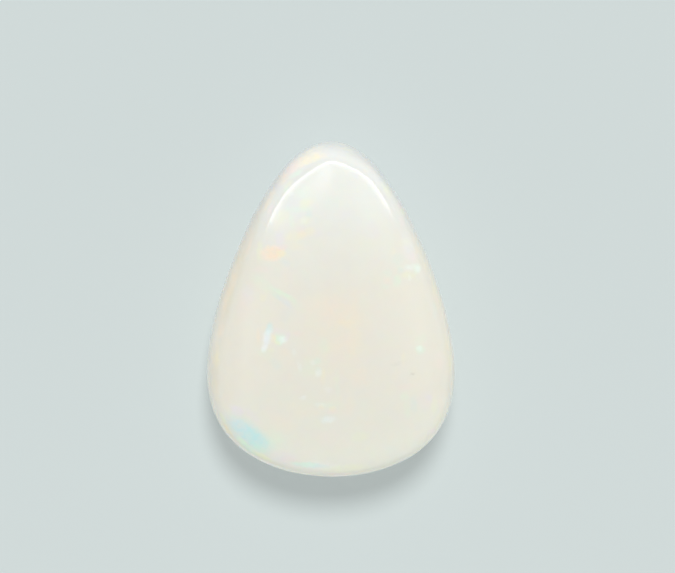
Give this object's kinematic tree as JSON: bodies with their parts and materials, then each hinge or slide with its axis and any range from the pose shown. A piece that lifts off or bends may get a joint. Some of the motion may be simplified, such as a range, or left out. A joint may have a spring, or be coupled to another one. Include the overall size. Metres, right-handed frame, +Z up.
{
  "type": "polished opal cabochon",
  "caption": "Polished pear-shaped white opal with a low domed face, rounded walls and a flat back to rest on.",
  "frame": {"origin": "centre of the stone's outline on the surface that it lies on, in the plane of its flat back", "axes": "+Z up through the domed face, +Y along the stone from its broad end to its narrow tip, +X across it"},
  "size_m": [0.0148, 0.02, 0.0062],
  "materials": {
    "milky_opal": "polished"
  },
  "bodies": {
    "root": {"opal": "milky_opal"}
  },
  "joints": []
}
